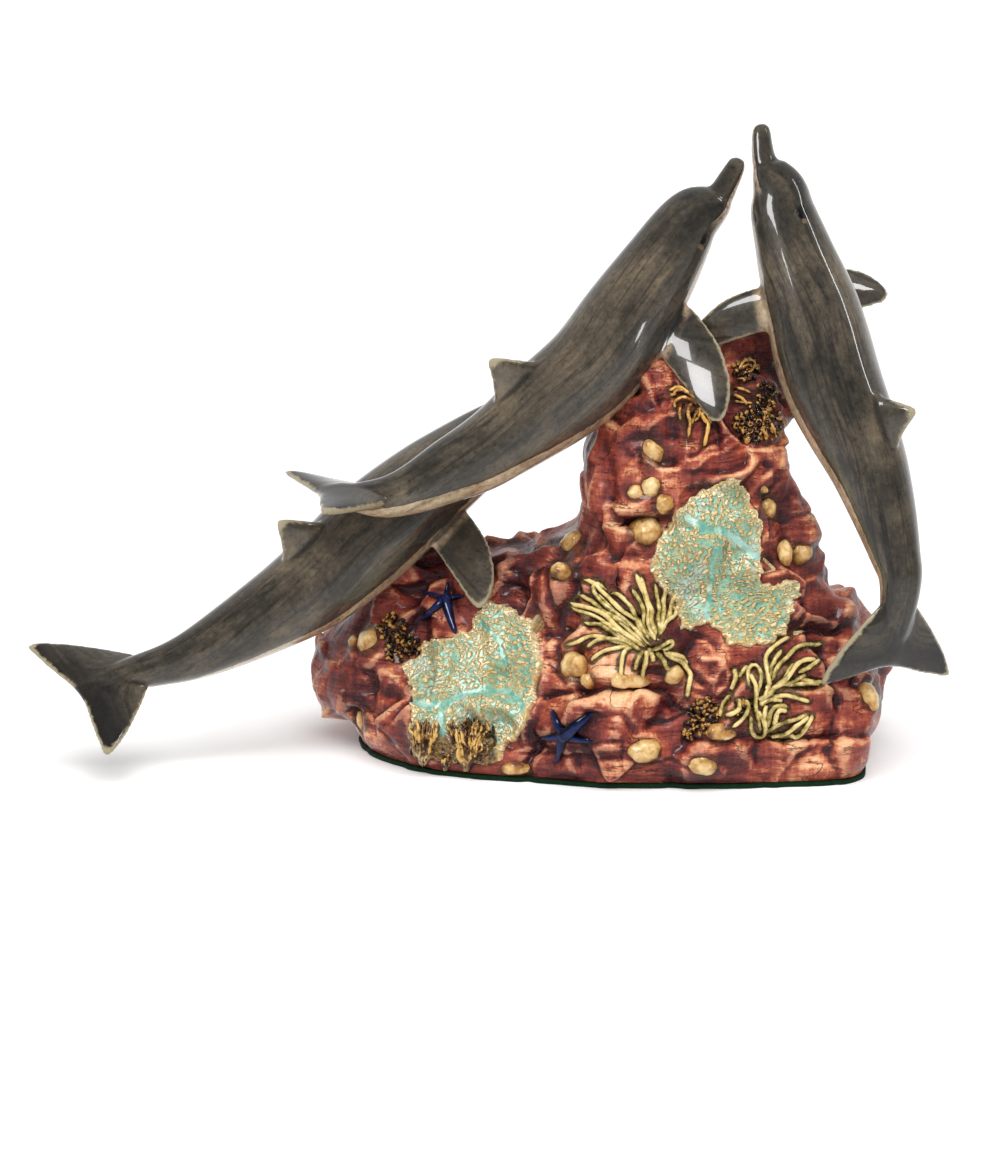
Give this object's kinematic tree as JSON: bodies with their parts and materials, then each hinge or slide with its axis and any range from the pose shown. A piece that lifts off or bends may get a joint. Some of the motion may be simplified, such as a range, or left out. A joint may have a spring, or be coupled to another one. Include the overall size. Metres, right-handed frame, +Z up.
{
  "type": "ceramic dolphin figurine",
  "caption": "Glazed ceramic figurine of dolphins leaping over a reef rock with coral crusts, shells, starfish and anemones, standing on a felt pad.",
  "frame": {"origin": "centre of the rock's foot on the felt pad's underside, at table height", "axes": "+Z up, +X to the viewer's right along the group's length, +Y away from the viewer"},
  "size_m": [0.4071, 0.1589, 0.2831],
  "materials": {
    "glazed_ceramic": "glossy glaze, dark grey dolphins over a maroon rock with turquoise and cream coral",
    "felt": "matt dark green felt"
  },
  "bodies": {
    "root": {"ceramic_group": "glazed_ceramic", "felt_pad": "felt"}
  },
  "joints": []
}
